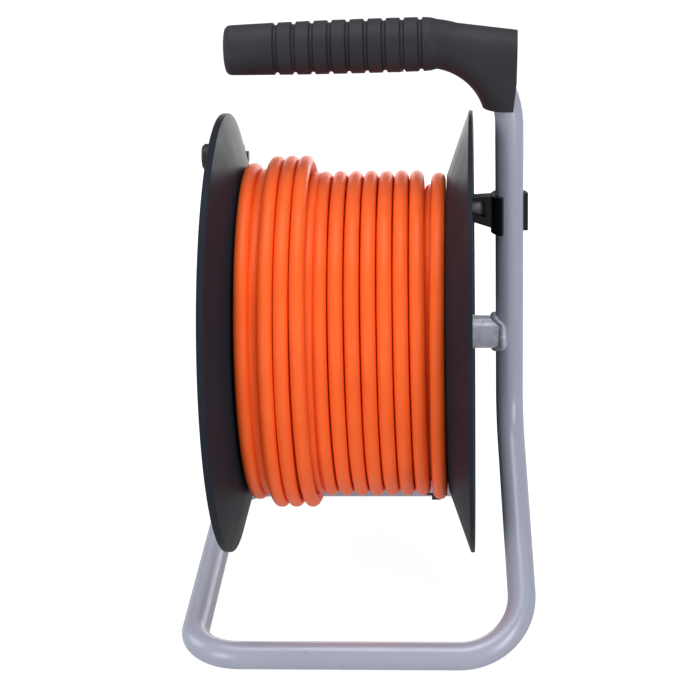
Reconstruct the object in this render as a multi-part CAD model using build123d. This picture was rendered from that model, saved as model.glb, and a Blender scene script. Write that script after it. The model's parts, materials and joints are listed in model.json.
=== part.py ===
from build123d import *
import math
import os

# Extension cord reel: a drum of orange cord with four sockets, on a bent tube stand.
# Millimetres. +Z up, floor at z = 0, origin at the bottom centre of the stand and drum.
# The drum turns about an axle along X; the socket side faces -X, the upright is at +X.

# ---- Driving dimensions ----------------------------------------------------------------
# Stand
TUBE_R = 9.0                  # outside radius of the stand's tube
TUBE_WALL = 1.5
AXLE_Z = 182.0                # height of the drum's axle
UPRIGHT_X = 99.8              # centre line of the upright
HANDLE_Z = 376.0              # centre line of the handle tube
HANDLE_START_X = -72.0
LEG_TOP_Z = 122.0             # where the upright turns into the slanted leg
FOOT_X_FRONT = -106.5
FOOT_X_REAR = 108.7
FOOT_X_FREE = 70.0            # free end of the far foot
FOOT_Y = 123.0                # half distance between the two feet
HANDLE_BEND = 52.0
LEG_BEND = 45.0
NEAR_BEND = 40.0
FOOT_BEND = 32.0

# Drum
FLANGE_R = 145.0
CORE_R = 80.0                 # outside of the hollow core
WALL = 3.0
FLAT_R = 104.0                # the flanges are flat inside this radius and conical outside
FRONT_X = -71.3               # inner faces of the two flanges
REAR_X = 59.7
FRONT_CONE_DEPTH = 11.7       # how far the cones lean out at the rim
REAR_CONE_DEPTH = 14.4
FRONT_RIM_WIDTH = 4.5
REAR_RIM_WIDTH = 2.5
RIM_THICK = 2.8
SPLIT_X = (FRONT_X + REAR_X) / 2
WEB_X = -10.0                 # rear face of the web that closes the socket compartment
HUB_R = 18.0
BUSH_R = 14.0

# Axle
AXLE_SHOULDER_R = 11.0
AXLE_R = 10.0
AXLE_BORE_R = 8.0
AXLE_SHOULDER_X = 68.0
AXLE_END_X = -22.0
RUNNING_GAP = 0.05
SIDE_PLAY = 0.3

# Sockets, panel and lids (two-pole sockets with side earth, 39 mm recess)
SOCKET_COUNT = 4
SOCKET_PITCH_R = 50.0         # from the axle to each socket's centre
CUP_R = 23.0
RECESS_R = 19.5
RECESS_DEPTH = 17.5
PIN_PITCH = 19.0
PIN_R = 2.4
PANEL_R = 84.0
PANEL_FACE_X = FRONT_X - WALL - 4.0
CUP_MOUTH_X = PANEL_FACE_X - 2.0
LID_R = 25.0
LID_THICK = 2.5
LID_INNER_X = CUP_MOUTH_X - 0.4
HINGE_Y = 77.6                # hinge pin of the socket at angle 0
HINGE_X = CUP_MOUTH_X - 1.3
HINGE_PIN_R = 1.2
KNUCKLE_R = 2.6
KNUCKLE_HALF = 7.7            # half width of a lid's two knuckles

# Cord
CORD_R = 4.7
ENTRY_ANGLE = 45.0            # where the cord passes through the core wall
ENTRY_X = -62.0
WINDING_R = 106.0             # outside of the wound cord
FIRST_TURN_R = 112.0
RAISED_R = 117.0
RAISED_X = (-56.0, -26.5)
PLUG_X = 39.5
PLUG_Y = 125.5
PLUG_BASE_Z = 190.0
PLUG_LENGTH = 38.0
PLUG_R = 18.4

# Winding knob
KNOB_Y = 88.4
KNOB_Z = 94.8                 # above the axle
KNOB_R = 9.1
KNOB_END_X = -109.3
KNOB_AXLE_R = 2.5
KNOB_BOSS_X = (-85.6, -80.6)
KNOB_HEAD_R = 3.9
KNOB_HEAD_X = (-80.2, -77.3)

# Grip
GRIP_FRONT_X = -78.0
GRIP_WAIST_X = 18.0           # the ribbed bar is thickest here
GRIP_R = 16.9
GRIP_END_R = 15.5
GRIP_AXIS_Z = 374.7           # at x = 0
GRIP_TILT = 1.0               # degrees, rising to the rear
GROOVES = 9
GROOVE_PITCH = 11.29
GROOVE_START_X = -45.6
GROOVE_DEPTH = 1.5
ELBOW_R = 15.3                # round cover over the bend
ELBOW_BOTTOM_Z = 335.0
ELBOW_START_X = 46.0
ELBOW_CREST = (40.0, 376.6)   # axis of the crest over the bend, from here
ELBOW_CREST_END = (112.0, 366.9)
ELBOW_REAR = ((102.0, ELBOW_BOTTOM_Z), (104.2, 353.5), (105.1, 386.0), (100.0, 400.0))

# Brake clip
CLIP_Z = (252.0, 277.0)
CLIP_WALL = 3.0
CLIP_OPENING = 115.0          # degrees
CLIP_OPENING_CENTRE = -57.0   # degrees from +X, seen from above
FINGER_TIP_X = 63.4
FINGER_Z = (264.0, 275.0)
FINGER_HALF_WIDTH = 4.0

os.makedirs("parts", exist_ok=True)


# ---- Helpers ---------------------------------------------------------------------------
def save(name, shape):
    """Write one node."""
    shape.label = name
    export_step(shape, f"parts/{name}.step")


def rod_x(radius, x_from, x_to, y=0.0, z=0.0):
    """Solid cylinder along X."""
    return Pos((x_from + x_to) / 2, y, z) * Rot(0, 90, 0) * Cylinder(radius, abs(x_to - x_from))


def tube_x(outer, inner, x_from, x_to, y=0.0, z=0.0):
    """Hollow cylinder along X."""
    return rod_x(outer, x_from, x_to, y, z) - rod_x(inner, x_from, x_to, y, z)


def rod_y(radius, y_from, y_to, x=0.0, z=0.0):
    """Solid cylinder along Y."""
    return Pos(x, (y_from + y_to) / 2, z) * Rot(90, 0, 0) * Cylinder(radius, abs(y_to - y_from))


def rod_z(radius, z_from, z_to, x=0.0, y=0.0):
    """Solid cylinder along Z."""
    return Pos(x, y, (z_from + z_to) / 2) * Cylinder(radius, abs(z_to - z_from))


def block(x, y, z):
    """Box from three (low, high) pairs."""
    sizes = [high - low for low, high in (x, y, z)]
    return Pos(*[(low + high) / 2 for low, high in (x, y, z)]) * Box(*sizes)


def turned(outline):
    """Solid of revolution about X from an outline of (x, radius) points."""
    return revolve(make_face(Polyline(*outline, close=True)), Axis.X)


def around_drum(shape, angle):
    """The shape turned about the drum's axis, where +Y goes towards +Z."""
    return Rot(angle, 0, 0) * shape


def at_axle(shape):
    """Drum pieces are made about the X axis and lifted to the axle's height."""
    return Pos(0, 0, AXLE_Z) * shape


def group(shapes):
    """Separate solids kept in one node."""
    return Compound([solid for shape in shapes for solid in shape.solids()])


def every(count, start, make):
    """The same shape at equal angles round the drum's axis."""
    return [around_drum(make(), start + 360 * step / count) for step in range(count)]


def pipe(points, radii, radius):
    """Round bar along straight runs joined by tangent arcs."""
    path = FilletPolyline(*points, radius=radii) if len(points) > 2 else Line(*points)
    section = Plane(origin=path @ 0, z_dir=path % 0) * Circle(radius)
    return sweep(section, path=path)


SOCKET_ANGLES = [360 * step / SOCKET_COUNT for step in range(SOCKET_COUNT)]
PANEL_SCREW_START = 22.5
DRUM_SCREW_START = 45.0
SCREW_COUNT = 4


# ---- Stand -----------------------------------------------------------------------------
frame_points = [
    (HANDLE_START_X, 0, HANDLE_Z),
    (UPRIGHT_X, 0, HANDLE_Z),
    (UPRIGHT_X, 0, LEG_TOP_Z),
    (FOOT_X_REAR, -FOOT_Y, TUBE_R),
    (FOOT_X_FRONT, -FOOT_Y, TUBE_R),
    (FOOT_X_FRONT, FOOT_Y, TUBE_R),
    (FOOT_X_FREE, FOOT_Y, TUBE_R),
]
frame_bends = [HANDLE_BEND, LEG_BEND, NEAR_BEND, FOOT_BEND, FOOT_BEND]

GRIP_SCREW_X = 30.0
GRIP_SCREW_R = 2.0

frame_bar = pipe(frame_points, frame_bends, TUBE_R)
frame_bore = pipe(frame_points, frame_bends, TUBE_R - TUBE_WALL)
grip_screw_hole = rod_z(GRIP_SCREW_R + 0.1, 350, HANDLE_Z - 3, GRIP_SCREW_X)
frame_tube = frame_bar - frame_bore - grip_screw_hole
save("frame_tube", frame_tube)

CAP_HEAD = 3.0
CAP_SPIGOT = 12.0
foot_cap = rod_x(TUBE_R, FOOT_X_FREE, FOOT_X_FREE + CAP_HEAD, FOOT_Y, TUBE_R)
foot_cap += rod_x(TUBE_R - TUBE_WALL - 0.05, FOOT_X_FREE - CAP_SPIGOT, FOOT_X_FREE, FOOT_Y, TUBE_R)
save("foot_end_plug", foot_cap)


def grip_radius(x):
    """Barrel shape of the ribbed bar."""
    share = (x - GRIP_WAIST_X) / (GRIP_WAIST_X - GRIP_FRONT_X)
    return GRIP_R - (GRIP_R - GRIP_END_R) * share * share


def ribbed_bar():
    """The grip's bar with its grooves and bevelled ribs, turned in one piece."""
    nose = 3.5
    front_r = grip_radius(GRIP_FRONT_X + nose)
    outline = [(GRIP_FRONT_X, 0), (GRIP_FRONT_X, front_r - nose)]
    for angle in (30, 60, 90):
        lean = nose * (1 - math.cos(math.radians(angle)))
        outline.append((GRIP_FRONT_X + lean, front_r - nose + nose * math.sin(math.radians(angle))))
    outline.append((-62, grip_radius(-62)))
    for step in range(GROOVES):
        x = GROOVE_START_X + GROOVE_PITCH * step
        for offset, depth in ((-1.7, 0), (-0.7, GROOVE_DEPTH), (0.7, GROOVE_DEPTH), (1.7, 0)):
            outline.append((x + offset, grip_radius(x + offset) - depth))
    outline.append((51, grip_radius(51) - 0.3))
    outline.append((56, ELBOW_R - 0.2))
    outline.append((56, 0))
    return Pos(0, 0, GRIP_AXIS_Z) * Rot(0, -GRIP_TILT, 0) * turned(outline)


def elbow():
    """Round cover along the bend with a crest that runs out to a corner behind it."""
    cover = pipe(frame_points[:3], frame_bends[:1], ELBOW_R)
    bend_centre_x = UPRIGHT_X - HANDLE_BEND
    bend_centre_z = HANDLE_Z - HANDLE_BEND
    with BuildLine(Plane.XZ) as corner_view:
        rear = Polyline(*ELBOW_REAR, (ELBOW_START_X, ELBOW_REAR[-1][1]), (ELBOW_START_X, HANDLE_Z))
        Line(rear @ 1, (bend_centre_x, HANDLE_Z))
        bend = RadiusArc((bend_centre_x, HANDLE_Z), (UPRIGHT_X, bend_centre_z), HANDLE_BEND)
        Polyline(bend @ 1, (UPRIGHT_X + 2, bend_centre_z), rear @ 0)
    corner = extrude(make_face(corner_view.line), amount=ELBOW_R, both=True)
    crest_from = (ELBOW_CREST[0], 0, ELBOW_CREST[1])
    crest_to = (ELBOW_CREST_END[0], 0, ELBOW_CREST_END[1])
    crest = pipe([crest_from, crest_to], [], ELBOW_R)
    with BuildLine(Plane.XZ) as under_view:
        Polyline(ELBOW_CREST, ELBOW_CREST_END, (ELBOW_CREST_END[0], 300), (ELBOW_CREST[0], 300), close=True)
    crest += extrude(make_face(under_view.line), amount=ELBOW_R, both=True)
    with BuildLine(Plane.XZ) as limit_view:
        start_low = (ELBOW_START_X, ELBOW_BOTTOM_Z)
        Polyline(start_low, *ELBOW_REAR, (ELBOW_START_X, ELBOW_REAR[-1][1]), close=True)
    limit = extrude(make_face(limit_view.line), amount=2 * ELBOW_R, both=True)
    return (cover + (corner & crest)) & limit


grip = ribbed_bar() + elbow()
grip_head_recess = rod_z(4.2, 350, 361, GRIP_SCREW_X)
grip -= pipe(frame_points[:4], frame_bends[:2], TUBE_R + 0.02)
grip -= grip_screw_hole + grip_head_recess
save("grip", grip)

grip_screw = rod_z(GRIP_SCREW_R, 360.7, HANDLE_Z - 5, GRIP_SCREW_X) + rod_z(3.9, 358.6, 360.9, GRIP_SCREW_X)
grip_screw -= block((GRIP_SCREW_X - 3, GRIP_SCREW_X + 3), (-0.6, 0.6), (358, 359.8))
save("grip_screw", grip_screw)

AXLE_WELD_X = 94.0            # the stub reaches the side of the upright here
RING_X = (-18.2, -17.0)
axle = turned([
    (AXLE_END_X, AXLE_BORE_R),
    (AXLE_END_X, AXLE_R),
    (AXLE_SHOULDER_X, AXLE_R),
    (AXLE_SHOULDER_X, AXLE_SHOULDER_R),
    (AXLE_WELD_X, AXLE_SHOULDER_R),
    (AXLE_WELD_X, AXLE_BORE_R),
])
axle -= tube_x(AXLE_R + 1, AXLE_R - 0.8, *RING_X)
axle_tube = at_axle(axle) - rod_z(TUBE_R, AXLE_Z - 30, AXLE_Z + 30, UPRIGHT_X)
save("axle_tube", axle_tube)

WASHER_R = 17.0
WASHER_THICK = 1.5
FRONT_BUSH_FACE_X = WEB_X - WALL - 2.0
rear_washer = tube_x(WASHER_R, AXLE_R + RUNNING_GAP, AXLE_SHOULDER_X - WASHER_THICK, AXLE_SHOULDER_X)
front_washer_x = FRONT_BUSH_FACE_X - SIDE_PLAY
front_washer = tube_x(WASHER_R, AXLE_R + RUNNING_GAP, front_washer_x - WASHER_THICK, front_washer_x)
save("thrust_washers", at_axle(group([rear_washer, front_washer])))

retaining_ring = tube_x(14, AXLE_R - 0.75, RING_X[0] + 0.05, RING_X[1] - 0.05)
retaining_ring -= block((-20, -15), (-2, 2), (-16, 0))
save("retaining_ring", at_axle(retaining_ring))

# ---- Drum halves -----------------------------------------------------------------------
LIP_R = FLANGE_R - RIM_THICK
RIM_ROUNDING = 0.9


def cone_back(depth, radius):
    """How far the back of a flange's cone stands from the flat inner face at this radius."""
    slope = depth / (FLANGE_R - FLAT_R)
    return slope * (radius - FLAT_R) + WALL * math.hypot(1, slope)


def round_rim(flange):
    """The flange with the two edges of its rim rounded."""
    circles = flange.edges().filter_by(GeomType.CIRCLE)
    return fillet([edge for edge in circles if abs(edge.radius - FLANGE_R) < 0.01], RIM_ROUNDING)


REAR_RIM_X = REAR_X + REAR_CONE_DEPTH
FRONT_RIM_X = FRONT_X - FRONT_CONE_DEPTH
rear_half = turned([
    (REAR_RIM_X, FLANGE_R),
    (REAR_RIM_X + REAR_RIM_WIDTH, FLANGE_R),
    (REAR_RIM_X + REAR_RIM_WIDTH, LIP_R),
    (REAR_X + cone_back(REAR_CONE_DEPTH, LIP_R), LIP_R),
    (REAR_X + WALL, FLAT_R),
    (REAR_X + WALL, HUB_R),
    (REAR_X + WALL + 1.5, HUB_R),
    (REAR_X + WALL + 1.5, BUSH_R),
    (REAR_X - 13.7, BUSH_R),
    (REAR_X - 13.7, HUB_R),
    (REAR_X, HUB_R),
    (REAR_X, CORE_R - WALL),
    (SPLIT_X, CORE_R - WALL),
    (SPLIT_X, CORE_R),
    (REAR_X, CORE_R),
    (REAR_X, FLAT_R),
])
rear_half = round_rim(rear_half)
DRUM_SCREW_PITCH_R = 68.0
DRUM_SCREW_R = 2.0
DRUM_SCREW_HEAD_R = 4.0
HEAD_FLOOR_X = REAR_X - 0.5
HOLE_EXTRA = 0.1


def rear_rib():
    return block((REAR_X + WALL - 0.1, REAR_X + WALL + 1.5), (HUB_R - 1, 76), (-1.2, 1.2))


for rib in every(8, 22.5, rear_rib):
    rear_half += rib
for boss in every(SCREW_COUNT, DRUM_SCREW_START, lambda: rod_x(6, SPLIT_X, REAR_X + 1, DRUM_SCREW_PITCH_R)):
    rear_half += boss
drum_screw_hole = rod_x(DRUM_SCREW_R + HOLE_EXTRA, WEB_X - 2.7, REAR_X + 5, DRUM_SCREW_PITCH_R)
drum_screw_hole += rod_x(DRUM_SCREW_HEAD_R + HOLE_EXTRA, HEAD_FLOOR_X, REAR_X + 5, DRUM_SCREW_PITCH_R)
drum_screw_holes = every(SCREW_COUNT, DRUM_SCREW_START, lambda: drum_screw_hole)
for hole in drum_screw_holes:
    rear_half -= hole
save("rear_drum_half", at_axle(rear_half))

front_half = turned([
    (FRONT_RIM_X, FLANGE_R),
    (FRONT_RIM_X - FRONT_RIM_WIDTH, FLANGE_R),
    (FRONT_RIM_X - FRONT_RIM_WIDTH, LIP_R),
    (FRONT_X - cone_back(FRONT_CONE_DEPTH, LIP_R), LIP_R),
    (FRONT_X - WALL, FLAT_R),
    (FRONT_X - WALL, CORE_R - WALL),
    (WEB_X - WALL, CORE_R - WALL),
    (WEB_X - WALL, BUSH_R),
    (WEB_X + 9, BUSH_R),
    (WEB_X + 9, HUB_R),
    (WEB_X, HUB_R),
    (WEB_X, CORE_R - WALL),
    (SPLIT_X, CORE_R - WALL),
    (SPLIT_X, CORE_R),
    (FRONT_X, CORE_R),
    (FRONT_X, FLAT_R),
])
front_half = round_rim(front_half)
PANEL_SCREW_PITCH_R = 73.0
PANEL_SCREW_R = 1.75
PEDESTAL_Y = (64.0, 72.0)
PEDESTAL_HALF = 14.0
CLAMP_SCREW_Z = 10.0
GLAND_R = 8.0

for boss in every(SCREW_COUNT, DRUM_SCREW_START, lambda: rod_x(6, WEB_X - 0.5, SPLIT_X, DRUM_SCREW_PITCH_R)):
    front_half += boss
panel_boss_x = (FRONT_X - WALL, -45)
for boss in every(SCREW_COUNT, PANEL_SCREW_START, lambda: rod_x(4.6, *panel_boss_x, PANEL_SCREW_PITCH_R)):
    front_half += boss
pedestal = block((ENTRY_X + CORD_R, WEB_X - 1), PEDESTAL_Y, (-PEDESTAL_HALF, PEDESTAL_HALF))
front_half += around_drum(pedestal, ENTRY_ANGLE)
front_half += rod_x(8.5, *KNOB_BOSS_X, KNOB_Y, KNOB_Z)
front_half -= rod_x(KNOB_AXLE_R + RUNNING_GAP, -95, -60, KNOB_Y, KNOB_Z)
front_half -= rod_x(KNOB_HEAD_R + RUNNING_GAP, KNOB_HEAD_X[0] - RUNNING_GAP, -60, KNOB_Y, KNOB_Z)
front_half -= around_drum(rod_y(GLAND_R + 0.05, 70, 90, ENTRY_X), ENTRY_ANGLE)
for side in (-1, 1):
    clamp_hole = rod_x(PANEL_SCREW_R + HOLE_EXTRA, ENTRY_X - 5, -42, 68, side * CLAMP_SCREW_Z)
    front_half -= around_drum(clamp_hole, ENTRY_ANGLE)
for hole in drum_screw_holes:
    front_half -= hole
panel_screw_hole = rod_x(PANEL_SCREW_R + HOLE_EXTRA, -90, -52, PANEL_SCREW_PITCH_R)
panel_screw_holes = every(SCREW_COUNT, PANEL_SCREW_START, lambda: panel_screw_hole)
for hole in panel_screw_holes:
    front_half -= hole
save("front_drum_half", at_axle(front_half))


def drum_screw():
    """Long screw with a cross recess in its head."""
    screw = rod_x(DRUM_SCREW_R, WEB_X - 2.3, HEAD_FLOOR_X + 1, DRUM_SCREW_PITCH_R)
    screw += rod_x(DRUM_SCREW_HEAD_R, HEAD_FLOOR_X, HEAD_FLOOR_X + 2.8, DRUM_SCREW_PITCH_R)
    for half_y, half_z in ((2.4, 0.5), (0.5, 2.4)):
        y_span = (DRUM_SCREW_PITCH_R - half_y, DRUM_SCREW_PITCH_R + half_y)
        screw -= block((HEAD_FLOOR_X + 1.4, HEAD_FLOOR_X + 4), y_span, (-half_z, half_z))
    return screw


save("drum_screws", at_axle(group(every(SCREW_COUNT, DRUM_SCREW_START, drum_screw))))

rear_hub_face = REAR_X + WALL + 1.5
rear_bush = tube_x(BUSH_R - 0.02, AXLE_R + RUNNING_GAP, REAR_X - 13.7, rear_hub_face)
rear_bush_end = AXLE_SHOULDER_X - WASHER_THICK - SIDE_PLAY
rear_bush += tube_x(HUB_R - 0.5, AXLE_R + RUNNING_GAP, rear_hub_face, rear_bush_end)
save("rear_bush", at_axle(rear_bush))
front_bush = tube_x(BUSH_R - 0.02, AXLE_R + RUNNING_GAP, WEB_X - WALL, WEB_X + 9)
front_bush += tube_x(HUB_R - 0.5, AXLE_R + RUNNING_GAP, FRONT_BUSH_FACE_X, WEB_X - WALL)
save("front_bush", at_axle(front_bush))

# ---- Socket panel, cups and lids -------------------------------------------------------
PANEL_BACK_X = PANEL_FACE_X + WALL
NECK_R = 6.0
EAR_Z = (8.0, 10.5)

panel = rod_x(PANEL_R, PANEL_FACE_X, PANEL_BACK_X)
panel = fillet(panel.edges().group_by(Axis.X)[0], 1.2)
for angle in SOCKET_ANGLES:
    panel -= around_drum(rod_x(CUP_R + HOLE_EXTRA, -90, -60, SOCKET_PITCH_R), angle)
    for low, high in (EAR_Z, (-EAR_Z[1], -EAR_Z[0])):
        ear = block((HINGE_X - 2.4, PANEL_FACE_X + 0.5), (HINGE_Y - 2.4, HINGE_Y + 2.4), (low, high))
        panel += around_drum(ear, angle)
    pin_hole = rod_z(HINGE_PIN_R + 0.02, -12, 12, HINGE_X, HINGE_Y)
    panel -= around_drum(pin_hole, angle)
panel -= rod_x(NECK_R + HOLE_EXTRA, -90, -60)
for hole in panel_screw_holes:
    panel -= hole
save("socket_panel", at_axle(panel))
save("panel_seal", at_axle(tube_x(83, 79, PANEL_BACK_X, FRONT_X - WALL)))


def panel_screw():
    screw = rod_x(PANEL_SCREW_R, PANEL_FACE_X - 0.5, -55, PANEL_SCREW_PITCH_R)
    screw += rod_x(3.4, PANEL_FACE_X - 2.2, PANEL_FACE_X, PANEL_SCREW_PITCH_R)
    slot_y = (PANEL_SCREW_PITCH_R - 0.5, PANEL_SCREW_PITCH_R + 0.5)
    return screw - block((PANEL_FACE_X - 3, PANEL_FACE_X - 1.1), slot_y, (-4, 4))


save("panel_screws", at_axle(group(every(SCREW_COUNT, PANEL_SCREW_START, panel_screw))))

RECESS_FLOOR_X = CUP_MOUTH_X + RECESS_DEPTH
CUP_BACK_X = RECESS_FLOOR_X + WALL
EARTH_CLIP_Z = (17.8, 18.8)

cup = turned([
    (CUP_MOUTH_X, RECESS_R),
    (CUP_MOUTH_X, CUP_R),
    (PANEL_BACK_X, CUP_R),
    (PANEL_BACK_X, LID_R),
    (PANEL_BACK_X + 2, LID_R),
    (PANEL_BACK_X + 2, CUP_R),
    (CUP_BACK_X, CUP_R),
    (CUP_BACK_X, 0),
    (RECESS_FLOOR_X, 0),
    (RECESS_FLOOR_X, RECESS_R),
])
cup = Pos(0, SOCKET_PITCH_R, 0) * cup
for side in (-1, 1):
    pin_y = SOCKET_PITCH_R + side * PIN_PITCH / 2
    cup -= rod_x(PIN_R + 0.4, -70, -55, pin_y)
    low, high = sorted((side * (EARTH_CLIP_Z[0] - 0.2), side * (EARTH_CLIP_Z[1] + 0.2)))
    slot_y = (SOCKET_PITCH_R - 4.2, SOCKET_PITCH_R + 4.2)
    cup -= block((RECESS_FLOOR_X - 0.1, CUP_BACK_X + 1), slot_y, (low, high))

lid = turned([
    (LID_INNER_X - LID_THICK, 0),
    (LID_INNER_X - LID_THICK, LID_R - 3),
    (LID_INNER_X - LID_THICK + 0.9, LID_R - 0.8),
    (LID_INNER_X - LID_THICK + 1.5, LID_R),
    (LID_INNER_X, LID_R),
    (LID_INNER_X, 0),
])
lid -= tube_x(15.5, 14.2, LID_INNER_X - LID_THICK - 1, LID_INNER_X - LID_THICK + 0.5)
lid = Pos(0, SOCKET_PITCH_R, 0) * lid
lid_x = (LID_INNER_X - LID_THICK, LID_INNER_X)
lid += block(lid_x, (SOCKET_PITCH_R + 20, HINGE_Y), (-KNUCKLE_HALF, KNUCKLE_HALF))
lid += block(lid_x, (SOCKET_PITCH_R - LID_R - 2.5, SOCKET_PITCH_R - LID_R + 3), (-7, 7))
lid += rod_z(KNUCKLE_R, -KNUCKLE_HALF, KNUCKLE_HALF, HINGE_X, HINGE_Y)
lid -= block((HINGE_X - 4, HINGE_X + 4), (HINGE_Y - 3.6, HINGE_Y + 4), (-3.6, 3.6))
lid -= rod_z(HINGE_PIN_R + RUNNING_GAP, -12, 12, HINGE_X, HINGE_Y)

SPRING_WIRE = 0.5
SPRING_R = 1.85
spring_turns = 5
lid_spring = None
for turn in range(spring_turns):
    coil = Pos(HINGE_X, HINGE_Y, (turn - 2) * SPRING_WIRE * 1.9) * Torus(SPRING_R, SPRING_WIRE)
    lid_spring = coil if lid_spring is None else lid_spring + coil
spring_end = 2 * SPRING_WIRE * 1.9
lid_spring += rod_x(SPRING_WIRE * 0.8, PANEL_FACE_X, HINGE_X, HINGE_Y + SPRING_R, spring_end)
lid_spring += rod_x(SPRING_WIRE * 0.8, PANEL_FACE_X, HINGE_X, HINGE_Y + SPRING_R, -spring_end)

for number, angle in enumerate(SOCKET_ANGLES, start=1):
    save(f"socket_cup_{number}", at_axle(around_drum(cup, angle)))
    save(f"socket_lid_{number}", at_axle(around_drum(lid, angle)))
    save(f"lid_spring_{number}", at_axle(around_drum(lid_spring, angle)))


def lid_pin():
    return rod_z(HINGE_PIN_R, -10.4, 10.4, HINGE_X, HINGE_Y)


save("lid_pins", at_axle(group(every(SOCKET_COUNT, 0, lid_pin))))

# ---- Contacts and wiring ---------------------------------------------------------------
BUS_X = -50.0
BUS_THICK = 1.2
BUS_HALF_WIDTH = 2.5
EARTH_BUS_X = BUS_X + 4.0


def pin_busbar(ring_r):
    """Ring with one springy pin sleeve for each socket."""
    bar = tube_x(ring_r + BUS_HALF_WIDTH, ring_r - BUS_HALF_WIDTH, BUS_X, BUS_X + BUS_THICK)
    for angle in SOCKET_ANGLES:
        bar += around_drum(rod_x(3.5, CUP_BACK_X + 0.3, BUS_X + BUS_THICK, ring_r), angle)
        bar -= around_drum(rod_x(PIN_R + 0.05, -70, BUS_X + 3, ring_r), angle)
        bar -= around_drum(block((-70, BUS_X - 1), (ring_r - 0.4, ring_r + 0.4), (-5, 5)), angle)
    return bar


save("line_busbar", at_axle(pin_busbar(SOCKET_PITCH_R - PIN_PITCH / 2)))
save("neutral_busbar", at_axle(pin_busbar(SOCKET_PITCH_R + PIN_PITCH / 2)))
earth_busbar = tube_x(SOCKET_PITCH_R + 3, SOCKET_PITCH_R - 8, EARTH_BUS_X, EARTH_BUS_X + BUS_THICK)
save("earth_busbar", at_axle(earth_busbar))


earth_clips = []
for angle in SOCKET_ANGLES:
    for side in (-1, 1):
        low, high = sorted((side * EARTH_CLIP_Z[0], side * EARTH_CLIP_Z[1]))
        strip = block((CUP_MOUTH_X + 4, EARTH_BUS_X), (SOCKET_PITCH_R - 4, SOCKET_PITCH_R + 2), (low, high))
        bow = rod_y(1.6, SOCKET_PITCH_R - 3, SOCKET_PITCH_R + 1, CUP_MOUTH_X + 7, side * EARTH_CLIP_Z[0])
        bow -= block((-90, -60), (40, 60), sorted((side * EARTH_CLIP_Z[0], side * 25)))
        earth_clips.append(around_drum(strip + bow, angle))
save("earth_clips", at_axle(group(earth_clips)))

CUTOUT_BACK_X = -48.0
BUTTON_R = 4.0
cutout = block((PANEL_BACK_X, CUTOUT_BACK_X), (-12, 12), (-9, 9))
cutout += rod_x(NECK_R, PANEL_FACE_X - 4.5, PANEL_BACK_X + 1)
cutout -= rod_x(BUTTON_R + 0.35, -90, -68)
save("thermal_cutout", at_axle(around_drum(cutout, ENTRY_ANGLE)))
nut_sketch = Plane.YZ.offset(PANEL_FACE_X - 3.0) * RegularPolygon(9.0, 6)
cutout_nut = extrude(nut_sketch, amount=3.0) - rod_x(NECK_R + 0.05, -90, -60)
save("cutout_nut", at_axle(cutout_nut))
reset_button = rod_x(BUTTON_R, PANEL_FACE_X - 7.5, -71.0)
reset_button = fillet(reset_button.edges().group_by(Axis.X)[0], 1.0)
save("reset_button", at_axle(reset_button))

CORD_END_Y = 30.0
gland = rod_y(GLAND_R, 72, 79.5, ENTRY_X) + rod_y(10, 72.5, 76, ENTRY_X)
gland -= rod_y(CORD_R + 0.05, 70, 85, ENTRY_X)
save("cord_gland", at_axle(around_drum(gland, ENTRY_ANGLE)))
inner_cord = rod_y(CORD_R, CORD_END_Y, 79.5, ENTRY_X)
save("inner_cord", at_axle(around_drum(inner_cord, ENTRY_ANGLE)))
clamp = block((ENTRY_X - 7, ENTRY_X - 0.8), PEDESTAL_Y, (-PEDESTAL_HALF, PEDESTAL_HALF))
clamp -= rod_y(CORD_R + 0.02, 60, 80, ENTRY_X)
for side in (-1, 1):
    clamp -= rod_x(PANEL_SCREW_R + HOLE_EXTRA, -80, -55, 68, side * CLAMP_SCREW_Z)
save("cord_clamp", at_axle(around_drum(clamp, ENTRY_ANGLE)))
clamp_screws = []
for side in (-1, 1):
    screw = rod_x(PANEL_SCREW_R, ENTRY_X - 7.5, -44, 68, side * CLAMP_SCREW_Z)
    screw += rod_x(3.2, ENTRY_X - 9.2, ENTRY_X - 7, 68, side * CLAMP_SCREW_Z)
    clamp_screws.append(around_drum(screw, ENTRY_ANGLE))
save("clamp_screws", at_axle(group(clamp_screws)))

WIRE_R = 1.3
WIRE_BEND = 3.5
wire_routes = {
    "line_wire": [(ENTRY_X, CORD_END_Y, 2.6), (ENTRY_X, 12, 2.6)],
    "neutral_wire": [
        (ENTRY_X, CORD_END_Y, -2.6),
        (ENTRY_X, 22, -2.6),
        (-34, 22, -8),
        (-34, 59.2, -8),
        (BUS_X + BUS_THICK, 59.2, -8),
    ],
    "earth_wire": [
        (ENTRY_X + 2.8, CORD_END_Y, 0),
        (ENTRY_X + 2.8, 24, 0),
        (-38, 24, 6),
        (-38, 46, 6),
        (EARTH_BUS_X + BUS_THICK, 46, 6),
    ],
    "load_wire": [
        (CUTOUT_BACK_X, 4, 4),
        (-42, 4, 4),
        (-42, 33, 23),
        (BUS_X + BUS_THICK, 33, 23),
    ],
}
for name, route in wire_routes.items():
    wire = pipe(route, [WIRE_BEND] * (len(route) - 2), WIRE_R)
    save(name, at_axle(around_drum(wire, ENTRY_ANGLE)))

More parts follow.
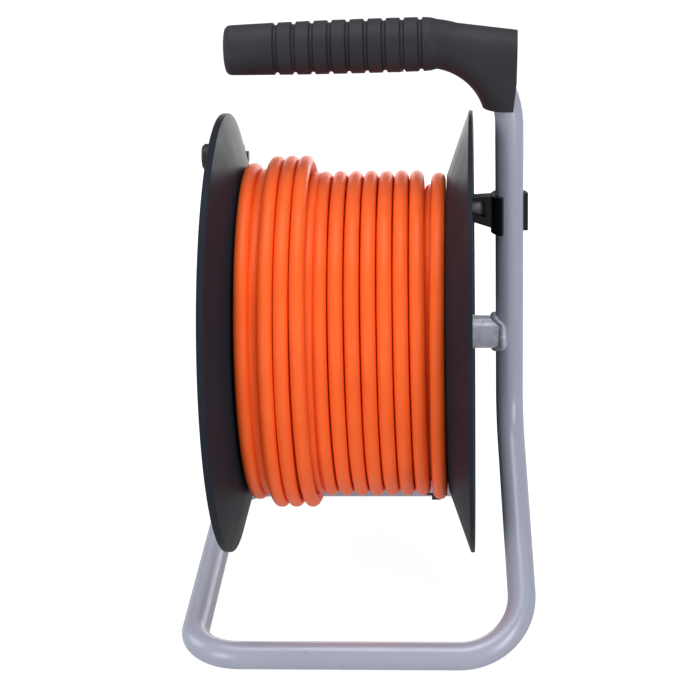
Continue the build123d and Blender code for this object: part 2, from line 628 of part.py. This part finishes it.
# ---- Winding knob ----------------------------------------------------------------------
KNOB_NUT_X = KNOB_END_X + 4.3
KNOB_FLOOR_X = KNOB_END_X + 7.9
knob_axle = rod_x(KNOB_AXLE_R, KNOB_NUT_X - 0.3, KNOB_HEAD_X[0], KNOB_Y, KNOB_Z)
knob_axle += rod_x(KNOB_HEAD_R, *KNOB_HEAD_X, KNOB_Y, KNOB_Z)
save("knob_axle", at_axle(knob_axle))
knob_nut = extrude(Plane.YZ.offset(KNOB_NUT_X) * RegularPolygon(5.0, 6), amount=3.2)
knob_nut = Pos(0, KNOB_Y, KNOB_Z) * knob_nut - rod_x(KNOB_AXLE_R + 0.02, -120, -90, KNOB_Y, KNOB_Z)
save("knob_nut", at_axle(knob_nut))
knob = turned([
    (KNOB_END_X, 6.2),
    (KNOB_END_X, KNOB_R - 1.6),
    (KNOB_END_X + 1.6, KNOB_R),
    (KNOB_END_X + 9.0, KNOB_R),
    (KNOB_BOSS_X[0] - 6.0, KNOB_R - 1.6),
    (KNOB_BOSS_X[0] - 0.5, KNOB_R - 0.8),
    (KNOB_BOSS_X[0] - 0.5, KNOB_AXLE_R + RUNNING_GAP),
    (KNOB_FLOOR_X, KNOB_AXLE_R + RUNNING_GAP),
    (KNOB_FLOOR_X, 6.2),
])
save("winding_knob", at_axle(Pos(0, KNOB_Y, KNOB_Z) * knob))

# ---- Brake clip ------------------------------------------------------------------------
clip_r = TUBE_R + CLIP_WALL
clip_centre = Pos(UPRIGHT_X, 0, 0)
clip = rod_z(clip_r, *CLIP_Z)
finger_points = [
    (-clip_r + 1.5, CLIP_Z[0] + 3),
    (-clip_r + 1.5, CLIP_Z[1] - 0.5),
    (FINGER_TIP_X - UPRIGHT_X, FINGER_Z[1]),
    (FINGER_TIP_X - UPRIGHT_X, FINGER_Z[0]),
]
finger_outline = Plane.XZ * Polyline(*finger_points, close=True)
finger = extrude(make_face(finger_outline), amount=FINGER_HALF_WIDTH, both=True)
window = [(-15.5, 262.5), (-15.5, 273.5), (-31, 272.3), (-31, 266.7)]
finger -= extrude(make_face(Plane.XZ * Polyline(*window, close=True)), amount=20, both=True)
clip = clip + finger - rod_z(TUBE_R + RUNNING_GAP, CLIP_Z[0] - 1, CLIP_Z[1] + 1)
opening_arc = [
    (25 * math.cos(math.radians(CLIP_OPENING_CENTRE + CLIP_OPENING * share)),
     25 * math.sin(math.radians(CLIP_OPENING_CENTRE + CLIP_OPENING * share)))
    for share in (-0.5, 0, 0.5)
]
opening_face = make_face(Polyline((0, 0), *opening_arc, close=True))
clip -= extrude(Pos(0, 0, CLIP_Z[0] - 1) * opening_face, amount=CLIP_Z[1] - CLIP_Z[0] + 2)
save("brake_clip", clip_centre * clip)

# ---- Cord ------------------------------------------------------------------------------
winding = turned([
    (FRONT_X + 0.1, CORE_R + 0.1),
    (FRONT_X + 0.1, FIRST_TURN_R),
    (RAISED_X[0], FIRST_TURN_R),
    (RAISED_X[0], RAISED_R),
    (RAISED_X[1], RAISED_R),
    (RAISED_X[1], WINDING_R),
    (REAR_X - 0.1, WINDING_R),
    (REAR_X - 0.1, CORE_R + 0.1),
])
save("cord_winding", at_axle(winding))

# The last turn leaves the winding underneath and lies against it up to the plug.
tail_points = [
    (54.4, -30, 81.0),
    (54.0, 20, 80.5),
    (51.0, 66, 90.0),
    (45.5, 103, 117.0),
    (PLUG_X, PLUG_Y, 152.0),
    (PLUG_X, PLUG_Y, PLUG_BASE_Z),
]
tail_radii = []
for before, corner, after in zip(tail_points, tail_points[1:], tail_points[2:]):
    run_in = Vector(*corner) - Vector(*before)
    run_out = Vector(*after) - Vector(*corner)
    half_turn = math.radians(run_in.get_angle(run_out) / 2)
    tail_radii.append(0.45 * min(run_in.length, run_out.length) / math.tan(half_turn))
print("tail radii", [round(radius, 1) for radius in tail_radii])
cord_tail = pipe(tail_points, tail_radii, CORD_R)
save("cord_tail", cord_tail)

RELIEF_LENGTH = 20.5
relief = Solid.make_cone(6.4, 9.0, RELIEF_LENGTH)
relief = Pos(PLUG_X, PLUG_Y, PLUG_BASE_Z - RELIEF_LENGTH) * relief
relief -= rod_z(CORD_R + 0.02, PLUG_BASE_Z - 40, PLUG_BASE_Z + 1, PLUG_X, PLUG_Y)
save("plug_strain_relief", relief)

PLUG_FACE_Z = PLUG_BASE_Z + PLUG_LENGTH
plug_outline = Plane.XZ * Polyline(
    (0, 0), (9.2, 0), (13.0, 5.0), (17.0, 16.0), (PLUG_R, 20.0), (PLUG_R, PLUG_LENGTH), (0, PLUG_LENGTH),
    close=True,
)
plug_body = Pos(PLUG_X, PLUG_Y, PLUG_BASE_Z) * revolve(make_face(plug_outline), Axis.Z)
PLUG_PIN_DEPTH = 12.0
PLUG_PIN_OUT = 19.0
PIN_ROOT_R = 2.9
STRAP_Z = (PLUG_FACE_Z - 16.0, PLUG_FACE_Z)
pins = []
straps = []
for side in (-1, 1):
    pin_x = PLUG_X + side * PIN_PITCH / 2
    plug_body -= rod_z(PIN_ROOT_R + 0.02, PLUG_FACE_Z - PLUG_PIN_DEPTH, PLUG_FACE_Z + 1, pin_x, PLUG_Y)
    pin = rod_z(PIN_ROOT_R, PLUG_FACE_Z - PLUG_PIN_DEPTH, PLUG_FACE_Z, pin_x, PLUG_Y)
    pins.append(pin + rod_z(PIN_R, PLUG_FACE_Z - 1, PLUG_FACE_Z + PLUG_PIN_OUT, pin_x, PLUG_Y))
    recess_y = sorted((PLUG_Y + side * (PLUG_R - 2.4), PLUG_Y + side * (PLUG_R + 1)))
    plug_body -= block((PLUG_X - 3.2, PLUG_X + 3.2), recess_y, (STRAP_Z[0], PLUG_FACE_Z + 1))
    strap_y = sorted((PLUG_Y + side * (PLUG_R - 2.4), PLUG_Y + side * (PLUG_R - 1.2)))
    straps.append(block((PLUG_X - 2.4, PLUG_X + 2.4), strap_y, STRAP_Z))
save("plug_body", plug_body)
save("plug_pins", group(pins))
save("plug_earth_straps", group(straps))

TIE_ANGLE = -115.0            # underneath, a little towards -Y
tie = tube_x(WINDING_R + 1.6, WINDING_R + 0.2, 44.0, 58.6)
tie &= rod_x(2.6, 40, 60, WINDING_R + 1, 0) + block((44, 58.6), (WINDING_R - 2, WINDING_R + 4), (-2.2, 2.2))
tie += block((48.5, 54.0), (WINDING_R + 1.0, WINDING_R + 4.6), (-3.2, 3.2))
save("cord_tie", at_axle(around_drum(tie, TIE_ANGLE)))
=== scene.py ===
"""Looks of the extension cord reel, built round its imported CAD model.

Lengths are metres in the model's own frame, except where a name or comment says millimetres.
"""
import json
import math
import random

import bmesh
import bpy
from mathutils import Matrix, Vector


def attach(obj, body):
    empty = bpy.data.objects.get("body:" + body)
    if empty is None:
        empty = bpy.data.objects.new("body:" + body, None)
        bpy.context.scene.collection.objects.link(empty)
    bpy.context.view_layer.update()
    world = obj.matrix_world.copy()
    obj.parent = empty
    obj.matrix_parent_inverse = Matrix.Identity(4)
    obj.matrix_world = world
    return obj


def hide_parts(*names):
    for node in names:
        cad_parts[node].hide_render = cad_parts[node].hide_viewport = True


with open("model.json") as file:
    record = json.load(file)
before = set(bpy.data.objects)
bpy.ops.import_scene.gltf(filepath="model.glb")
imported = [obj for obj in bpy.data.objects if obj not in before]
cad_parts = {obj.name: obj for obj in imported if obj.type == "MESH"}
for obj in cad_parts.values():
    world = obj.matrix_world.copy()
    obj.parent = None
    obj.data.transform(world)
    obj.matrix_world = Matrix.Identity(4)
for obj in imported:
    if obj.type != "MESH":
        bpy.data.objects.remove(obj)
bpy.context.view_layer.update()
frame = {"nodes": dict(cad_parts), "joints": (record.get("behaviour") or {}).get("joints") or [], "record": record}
MM = 0.001

# ---- Places read from the frame --------------------------------------------------------
joint_at = {joint["name"]: Vector(joint.get("pos_m", (0, 0, 0))) for joint in frame["joints"]}
AXLE_Z = joint_at["drum_spin"].z
UPRIGHT_X = joint_at["brake_swing"].x
CORD_R = 4.7 * MM


def node(name):
    return frame["nodes"][name]


# ---- Camera ----------------------------------------------------------------------------
CAMERA_AZIMUTH = math.radians(4.163)
CAMERA_ELEVATION = math.radians(22.474)
CAMERA_ROLL = math.radians(-1.883)
CAMERA_DISTANCE = 1.3407
CAMERA_AIM = Vector((-0.00577, 0, AXLE_Z - 0.01278))
SENSOR = 36.0
CAMERA_LENS = 2017.9 / 700 * SENSOR    # from the focal length in pixels of a 700-wide picture

camera_data = bpy.data.cameras.new("camera")
camera_data.sensor_width = SENSOR
camera_data.lens = CAMERA_LENS
camera = bpy.data.objects.new("camera", camera_data)
bpy.context.scene.collection.objects.link(camera)
camera_back = Vector((
    math.sin(CAMERA_AZIMUTH) * math.cos(CAMERA_ELEVATION),
    -math.cos(CAMERA_AZIMUTH) * math.cos(CAMERA_ELEVATION),
    math.sin(CAMERA_ELEVATION),
))
camera.rotation_mode = "QUATERNION"
camera.location = CAMERA_AIM + camera_back * CAMERA_DISTANCE
roll = Matrix.Rotation(CAMERA_ROLL, 4, "Z").to_quaternion()
camera.rotation_quaternion = (-camera_back).to_track_quat("-Z", "Y") @ roll
bpy.context.scene.camera = camera


# ---- Cord ------------------------------------------------------------------------------
# The winding is one list of turns. Each turn has its place along the axle at the top, the
# middle and the bottom of its near half, and its radius at the top and at the bottom.
# On the far side the cord moves over to the next turn.
POINTS_PER_TURN = 24
STEP_ANGLE = 360 / POINTS_PER_TURN
ENTRY_ANGLE = 45.0
TOP_ANGLE = 90.0
BOTTOM_ANGLE = 270.0
TURN_START = 60.0             # degrees; a turn keeps its own lane from here
TURN_END = 285.0              # to here
ENTRY_X = -63.0               # this and the rest of these values are millimetres
INNER_R = 84.9
LAYER_STEP = 8.2
WOBBLE_X = 0.12
WOBBLE_R = 0.1
FLANGE_JUMP = 20              # a turn that comes back over more than this goes over the others
FLANGE_LIFT = 9.5
RAISED_R = 110                # turns outside this radius lie on top of the third layer
RAISED_LIFT = 7.5


def turn_group(count, first_x, last_x, top_r, bottom_r, middle_shift=0.0, bottom_shift=0.0):
    """Evenly spaced turns, whose near halves move over by the same shifts on their way down."""
    step = (last_x - first_x) / max(count - 1, 1)
    turns = []
    for k in range(count):
        x = first_x + step * k
        turns.append((x, x + middle_shift, x + bottom_shift, top_r, bottom_r))
    return turns


THIRD_R = 101.3
TOP_R = 101.8
TOP_BOTTOM_R = 103.2
RAISED_TOP_R = 112.2
RAISED_BOTTOM_R = 110.5

winding_turns = (
    # two hidden layers, there and back
    turn_group(13, -66.3, 54.6, INNER_R, INNER_R)
    + turn_group(12, 49.5, -61.5, INNER_R + LAYER_STEP, INNER_R + LAYER_STEP)
    # part of a third layer, which shows between the turns above it
    + turn_group(1, -58.6, -58.6, 104.0, 102.5, 0.6, 1.0)
    + turn_group(3, -47.0, -25.6, THIRD_R, THIRD_R, 0.6, 0.9)
    # back at the front flange
    + turn_group(1, -66.6, -66.6, 107.8, 105.2, 1.7, 1.7)
    # three turns on top of the third layer, the last of them leaning away
    + turn_group(2, -51.0, -41.5, RAISED_TOP_R, RAISED_BOTTOM_R, 1.2, 0.5)
    + turn_group(1, -32.1, -32.1, RAISED_TOP_R, RAISED_BOTTOM_R, 2.0, 2.3)
    # the rest of the top layer, and the last turn against the rear flange
    + turn_group(7, -19.5, 40.6, TOP_R, TOP_BOTTOM_R, 2.2, 2.0)
    + turn_group(1, 54.2, 54.2, 100.3, 106.0, 0.4, -0.8)
)


def smooth(share):
    return share * share * (3 - 2 * share)


def along_turn(turn, degrees):
    """Place along the axle and radius on the near half of a turn."""
    top_x, middle_x, bottom_x, top_r, bottom_r = turn
    share = (degrees - TOP_ANGLE) / (BOTTOM_ANGLE - TOP_ANGLE)
    bow = 4 * share * (1 - share)
    x = top_x + (bottom_x - top_x) * share + (middle_x - (top_x + bottom_x) / 2) * bow
    return x, top_r + (bottom_r - top_r) * smooth(min(max(share, 0), 1))


def crossing_lift(before, after, share):
    """A turn that goes back over others rises over them, and those after it lie over it."""
    over = 0.0
    if before[0] - after[0] > FLANGE_JUMP:
        over = FLANGE_LIFT
    elif before[3] > RAISED_R:
        over = RAISED_LIFT
    return over * math.sin(math.pi * share) ** 2


def turn_point(index, degrees):
    """Centre line in millimetres about the axle, at an angle from TURN_START on, of a turn."""
    if degrees <= TURN_END or index + 1 == len(winding_turns):
        return along_turn(winding_turns[index], degrees)
    before, after = winding_turns[index], winding_turns[index + 1]
    share = (degrees - TURN_END) / (TURN_START + 360 - TURN_END)
    x0, r0 = along_turn(before, TURN_END)
    x1, r1 = along_turn(after, TURN_START)
    x = x0 + (x1 - x0) * smooth(share)
    return x, r0 + (r1 - r0) * smooth(share) + crossing_lift(before, after, share)


wobble = random.Random(7)
outset = 1 / math.cos(math.pi / POINTS_PER_TURN)
cord_points = []
entry_points = round((TURN_START - ENTRY_ANGLE) / STEP_ANGLE)
for step in range(entry_points):
    angle = math.radians(ENTRY_ANGLE + STEP_ANGLE * step)
    radius = (INNER_R - 1.5) * outset
    cord_points.append(Vector((ENTRY_X, radius * math.cos(angle), radius * math.sin(angle))))
for index in range(len(winding_turns)):
    last_turn = index == len(winding_turns) - 1
    span = BOTTOM_ANGLE - TURN_START if last_turn else 360
    for step in range(round(span / STEP_ANGLE)):
        degrees = TURN_START + STEP_ANGLE * step
        angle = math.radians(degrees)
        x, radius = turn_point(index, degrees)
        x += wobble.uniform(-WOBBLE_X, WOBBLE_X)
        radius = (radius + wobble.uniform(-WOBBLE_R, WOBBLE_R)) * outset
        cord_points.append(Vector((x, radius * math.cos(angle), radius * math.sin(angle))))
cord_points = [(point + Vector((0, 0, AXLE_Z / MM))) * MM for point in cord_points]

# the tail: from the bottom of the last turn up the far side to the plug
tail_route = [
    (54.2, -2, 80.0),
    (54.0, 20, 80.5),
    (51.0, 66, 90.0),
    (45.5, 103, 117.0),
    (39.5, 125.5, 152.0),
    (39.5, 125.5, 190.0),
]
cord_points += [Vector(point) * MM for point in tail_route]


def nurbs_line(name, points, line_r):
    """One open NURBS spline with these control points, and the line's radius at each point."""
    curve = bpy.data.curves.new(name, "CURVE")
    curve.dimensions = "3D"
    spline = curve.splines.new("NURBS")
    spline.points.add(len(points) - 1)
    for target, point in zip(spline.points, points):
        target.co = (*point, 1)
        target.radius = line_r
    spline.order_u = 3
    spline.use_endpoint_u = True
    spline.resolution_u = 3
    curve.bevel_depth = 1.0
    curve.bevel_resolution = 5
    curve.use_fill_caps = True
    obj = bpy.data.objects.new(name, curve)
    bpy.context.scene.collection.objects.link(obj)
    return obj


cord = nurbs_line("cord", cord_points, CORD_R)
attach(cord, "drum")
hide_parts("cord_winding", "cord_tail")


# ---- Materials -------------------------------------------------------------------------
def material(name, color, roughness, specular=0.5, metallic=0.0):
    """A node material with these values on its shader. Returns both."""
    made = bpy.data.materials.new(name)
    made.use_nodes = True
    shader = made.node_tree.nodes["Principled BSDF"]
    shader.inputs["Base Color"].default_value = (*color, 1)
    shader.inputs["Roughness"].default_value = roughness
    shader.inputs["Specular IOR Level"].default_value = specular
    shader.inputs["Metallic"].default_value = metallic
    return made, shader


def object_coordinates(made):
    return made.node_tree.nodes.new("ShaderNodeTexCoord").outputs["Object"]


def noise(made, scale, detail=3.0, roughness=0.5):
    texture = made.node_tree.nodes.new("ShaderNodeTexNoise")
    texture.inputs["Scale"].default_value = scale
    texture.inputs["Detail"].default_value = detail
    texture.inputs["Roughness"].default_value = roughness
    made.node_tree.links.new(object_coordinates(made), texture.inputs["Vector"])
    return texture.outputs["Fac"]


def ramp(made, source, stops):
    """Colour ramp from (position, colour) stops."""
    made_ramp = made.node_tree.nodes.new("ShaderNodeValToRGB")
    elements = made_ramp.color_ramp.elements
    while len(elements) < len(stops):
        elements.new(0.5)
    for element, (position, color) in zip(elements, stops):
        element.position = position
        element.color = (*color, 1)
    made.node_tree.links.new(source, made_ramp.inputs["Fac"])
    return made_ramp.outputs["Color"]


def vary_color(made, shader, low, high, scale, detail=3.0):
    """Base colour drifts between two close colours."""
    color = ramp(made, noise(made, scale, detail), [(0.3, low), (0.7, high)])
    made.node_tree.links.new(color, shader.inputs["Base Color"])


def vary_roughness(made, shader, low, high, scale, detail=3.0):
    """Gloss drifts between two roughnesses."""
    span = made.node_tree.nodes.new("ShaderNodeMapRange")
    span.inputs["From Min"].default_value = 0.3
    span.inputs["From Max"].default_value = 0.7
    span.inputs["To Min"].default_value = low
    span.inputs["To Max"].default_value = high
    made.node_tree.links.new(noise(made, scale, detail), span.inputs["Value"])
    made.node_tree.links.new(span.outputs["Result"], shader.inputs["Roughness"])


def add_bump(made, shader, height, strength, distance):
    bump = made.node_tree.nodes.new("ShaderNodeBump")
    bump.inputs["Strength"].default_value = strength
    bump.inputs["Distance"].default_value = distance
    made.node_tree.links.new(height, bump.inputs["Height"])
    made.node_tree.links.new(bump.outputs["Normal"], shader.inputs["Normal"])


def plastic(name, color, roughness, grain_scale=900, grain_depth=0.05, specular=0.5, spread=0.12):
    """Moulded plastic or rubber: faint colour drift, uneven gloss and a fine grain."""
    made, shader = material(name, color, roughness, specular)
    low = tuple(channel * (1 - spread) for channel in color)
    high = tuple(min(1, channel * (1 + spread)) for channel in color)
    vary_color(made, shader, low, high, 35)
    vary_roughness(made, shader, max(0.05, roughness - 0.05), min(1, roughness + 0.05), 60)
    add_bump(made, shader, noise(made, grain_scale, 4, 0.6), grain_depth, 0.0004)
    return made


def metal(name, color, roughness):
    """Plain or plated metal with a light unevenness."""
    made, shader = material(name, color, roughness, metallic=1.0)
    low = tuple(channel * 0.9 for channel in color)
    vary_color(made, shader, low, color, 90)
    vary_roughness(made, shader, roughness - 0.07, roughness + 0.1, 160)
    add_bump(made, shader, noise(made, 700, 3), 0.03, 0.0002)
    return made


def cord_material():
    """Orange rubber sheath: soft gloss, a faint drift of colour and a fine grain."""
    made, shader = material("cord_sheath", (0.96, 0.13, 0.022), 0.38, 0.18)
    vary_color(made, shader, (0.92, 0.12, 0.019), (0.99, 0.14, 0.025), 28, 4)
    vary_roughness(made, shader, 0.34, 0.44, 120)
    add_bump(made, shader, noise(made, 420, 4, 0.6), 0.06, 0.0004)
    return made


def paint_material():
    """Silver-grey satin paint with a faint orange peel."""
    made, shader = material("frame_paint", (0.38, 0.4, 0.5), 0.3, 0.5, metallic=0.12)
    vary_color(made, shader, (0.37, 0.39, 0.49), (0.395, 0.415, 0.515), 18, 3)
    vary_roughness(made, shader, 0.27, 0.33, 90)
    add_bump(made, shader, noise(made, 260, 2), 0.08, 0.0003)
    return made


def drum_material():
    """Smooth moulded plastic of both drum halves."""
    made, shader = material("drum_plastic", (0.019, 0.023, 0.032), 0.4, 0.025)
    vary_color(made, shader, (0.017, 0.021, 0.03), (0.021, 0.025, 0.034), 14, 3)
    vary_roughness(made, shader, 0.37, 0.44, 45)
    add_bump(made, shader, noise(made, 800, 3), 0.04, 0.0003)
    return made


def weld_paint_highlight_material():
    """Paint over a rough weld and a turned stub: the same grey, glossier and uneven, its colour lightened and
    blotched light and dark as painted highlights.
    """
    made, shader = material("welded_stub_paint_with_painted_highlight", (0.46, 0.48, 0.57), 0.26, 0.6, metallic=0.2)
    # colour blotched between darker and much lighter grey: painted highlights
    vary_color(made, shader, (0.36, 0.38, 0.46), (0.56, 0.58, 0.67), 140, 4)
    vary_roughness(made, shader, 0.2, 0.34, 260)
    add_bump(made, shader, noise(made, 190, 4, 0.6), 0.35, 0.0008)
    return made


finish = {
    "cord_orange": cord_material(),
    "frame_paint": paint_material(),
    "drum_plastic": drum_material(),
    "grip_plastic": plastic("grip_plastic", (0.02, 0.0205, 0.028), 0.6, 520, 0.5, 0.3, 0.2),
    "black_cap": plastic("black_cap", (0.02, 0.02, 0.022), 0.5),
    "zinc_steel": metal("zinc_steel", (0.62, 0.63, 0.66), 0.34),
    "spring_steel": metal("spring_steel", (0.32, 0.32, 0.33), 0.3),
    "white_nylon": plastic("white_nylon", (0.72, 0.71, 0.66), 0.42, spread=0.05),
    "panel_plastic": plastic("panel_plastic", (0.024, 0.025, 0.03), 0.4, 700, 0.12),
    "lid_plastic": plastic("lid_plastic", (0.045, 0.047, 0.055), 0.36, 700, 0.1),
    "button_red": plastic("button_red", (0.5, 0.02, 0.015), 0.35, 500, 0.03, spread=0.05),
    "seal_rubber": plastic("seal_rubber", (0.02, 0.02, 0.02), 0.75, 500, 0.1),
    "brass": metal("brass", (0.78, 0.56, 0.26), 0.26),
    "tinned_steel": metal("tinned_steel", (0.66, 0.66, 0.64), 0.3),
    "plug_rubber": plastic("plug_rubber", (0.024, 0.024, 0.027), 0.6, 600, 0.15),
    "tie_nylon": plastic("tie_nylon", (0.018, 0.018, 0.02), 0.38),
    "wire_brown": plastic("wire_brown", (0.1, 0.035, 0.012), 0.4),
    "wire_blue": plastic("wire_blue", (0.02, 0.09, 0.4), 0.4),
    "wire_green": plastic("wire_green", (0.2, 0.42, 0.03), 0.4),
    "knob_plastic": plastic("knob_plastic", (0.012, 0.012, 0.015), 0.42, 600, 0.12, 0.35),
    "clip_plastic": plastic("clip_plastic", (0.005, 0.006, 0.009), 0.4, 600, 0.08, 0.3),
}


def dress(obj, made):
    """Gives an object one material in place of what it has."""
    obj.data.materials.clear()
    obj.data.materials.append(made)


for entry in frame["record"]["subparts"]:
    dress(node(entry["node"]), finish[entry["material_slot"]])
dress(cord, finish["cord_orange"])
dress(node("knob_axle"), plastic("blacked_steel", (0.012, 0.012, 0.015), 0.4, 500, 0.05))
# the stub and weld finish paints highlights into its lightened, blotchy colour
weld_paint_with_painted_highlight = weld_paint_highlight_material()
dress(node("axle_tube"), weld_paint_with_painted_highlight)


# ---- Weld bead and clip web ------------------------------------------------------------
def mesh_piece(name, body, shell, made):
    """Turns a bmesh into a smooth-shaded piece that rides on a body."""
    mesh = bpy.data.meshes.new(name)
    shell.to_mesh(mesh)
    shell.free()
    for face in mesh.polygons:
        face.use_smooth = True
    obj = bpy.data.objects.new(name, mesh)
    bpy.context.scene.collection.objects.link(obj)
    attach(obj, body)
    dress(obj, made)


STUB_R = 11.0 * MM
TUBE_R = 9.0 * MM
BEAD_R = 2.7 * MM
BEAD_LUMPS = 15
BEAD_RINGS = 150
BEAD_SIDES = 12
LUMP_SIZES = (0.75, 1.15)     # times BEAD_R
LUMP_NECK = 0.14              # how much thinner the bead is between lumps
WIDEST_REACH = 0.93           # of TUBE_R, because the stub is wider than the upright


def weld_bead():
    """A lumpy ring of weld, which follows the round side of the upright about the stub."""
    shell = bmesh.new()
    rings = []
    lump = random.Random(11)
    sizes = [lump.uniform(*LUMP_SIZES) for _ in range(BEAD_LUMPS)]
    for i in range(BEAD_RINGS):
        turn = i / BEAD_RINGS * 2 * math.pi
        out = Vector((0, math.cos(turn), math.sin(turn)))
        reach = min(abs(out.y) * STUB_R, WIDEST_REACH * TUBE_R)
        centre_x = UPRIGHT_X - math.sqrt(TUBE_R ** 2 - reach ** 2)
        spot = i / BEAD_RINGS * BEAD_LUMPS
        share = smooth(spot % 1)
        this_size, next_size = sizes[int(spot)], sizes[(int(spot) + 1) % BEAD_LUMPS]
        size = this_size * (1 - share) + next_size * share
        size *= BEAD_R * (1 - LUMP_NECK + LUMP_NECK * abs(math.sin(math.pi * spot)))
        centre = Vector((centre_x - 0.4 * BEAD_R, 0, AXLE_Z)) + out * STUB_R
        angles = [k / BEAD_SIDES * 2 * math.pi for k in range(BEAD_SIDES)]
        rings.append([
            shell.verts.new(centre + (out * math.cos(a) - Vector((1, 0, 0)) * math.sin(a)) * size)
            for a in angles
        ])
    for i in range(BEAD_RINGS):
        near, far = rings[i], rings[(i + 1) % BEAD_RINGS]
        for k in range(BEAD_SIDES):
            beside = (k + 1) % BEAD_SIDES
            shell.faces.new((near[k], far[k], far[beside], near[beside]))
    bmesh.ops.recalc_face_normals(shell, faces=shell.faces)
    return shell


# the weld bead wears the same paint with painted highlights
mesh_piece("weld_bead", "frame", weld_bead(), weld_paint_with_painted_highlight)


# millimetres: x from the upright, and z
WEB_OUTLINE = ((-15.2, 262.2), (-15.2, 273.8), (-31.3, 272.6), (-31.3, 266.4))
WEB_Y = (-0.4, 0.8)
WEB_BEVEL = 0.2 * MM


def clip_web():
    """Thin moulded web that closes the window of the clip's finger."""
    shell = bmesh.new()
    front, back = [
        [shell.verts.new(Vector((UPRIGHT_X + x * MM, y * MM, z * MM))) for x, z in WEB_OUTLINE]
        for y in WEB_Y
    ]
    shell.faces.new(front)
    shell.faces.new(reversed(back))
    for k in range(len(front)):
        beside = (k + 1) % len(front)
        shell.faces.new((front[k], back[k], back[beside], front[beside]))
    bmesh.ops.recalc_face_normals(shell, faces=shell.faces)
    bmesh.ops.bevel(shell, geom=shell.edges[:], offset=WEB_BEVEL, segments=2, affect="EDGES")
    return shell


# mid grey, much lighter than the black clip plastic it is moulded with: painted sheen
web_plastic_painted_sheen = plastic("clip_web", (0.15, 0.15, 0.165), 0.4, 600, 0.08)
mesh_piece("clip_web", "brake", clip_web(), web_plastic_painted_sheen)

# ---- Floor, light and world ------------------------------------------------------------
FLOOR_SIZE = 12.0


def white_to_camera(tree, strength, lit, seen):
    """Makes a backdrop look white when seen directly, and light the object less than that."""
    path = tree.nodes.new("ShaderNodeLightPath")
    pick = tree.nodes.new("ShaderNodeMapRange")
    pick.inputs["To Min"].default_value = lit
    pick.inputs["To Max"].default_value = seen
    tree.links.new(path.outputs["Is Camera Ray"], pick.inputs["Value"])
    tree.links.new(pick.outputs["Result"], strength)


bpy.ops.mesh.primitive_plane_add(size=FLOOR_SIZE, location=(0, 0, 0))
floor = bpy.context.object
floor.name = "floor"
floor_material, floor_shader = material("floor", (0.3, 0.3, 0.3), 0.9, 0.0)
floor_shader.inputs["Emission Color"].default_value = (1, 1, 1, 1)
white_to_camera(floor_material.node_tree, floor_shader.inputs["Emission Strength"], 0.4, 0.9)
dress(floor, floor_material)

world = bpy.data.worlds.new("studio")
bpy.context.scene.world = world
world.use_nodes = True
world.node_tree.nodes["Background"].inputs["Color"].default_value = (1, 1, 1, 1)
white_to_camera(world.node_tree, world.node_tree.nodes["Background"].inputs["Strength"], 0.4, 1.0)


def softbox(name, place, aim, width, height, power):
    """Rectangular area light turned towards a point."""
    data = bpy.data.lights.new(name, "AREA")
    data.shape = "RECTANGLE"
    data.size = width
    data.size_y = height
    data.energy = power
    lamp = bpy.data.objects.new(name, data)
    lamp.location = place
    lamp.rotation_mode = "QUATERNION"
    lamp.rotation_quaternion = (Vector(aim) - Vector(place)).to_track_quat("-Z", "Y")
    lamp.visible_camera = False
    bpy.context.scene.collection.objects.link(lamp)


centre = (0, 0, AXLE_Z)
softbox("key", (1.15, -1.45, 0.6), centre, 0.3, 1.4, 11)
softbox("fill", (-1.2, -1.7, 0.35), centre, 1.0, 1.2, 13.5)
softbox("side", (-1.7, 0.2, 0.8), centre, 1.0, 1.0, 7)
softbox("top", (0.1, -0.1, 1.9), centre, 1.3, 1.3, 20)
softbox("back", (0.1, 1.0, 0.2), (0, 0, 0.3), 1.2, 0.35, 3.5)

bpy.context.scene.view_settings.view_transform = "Standard"
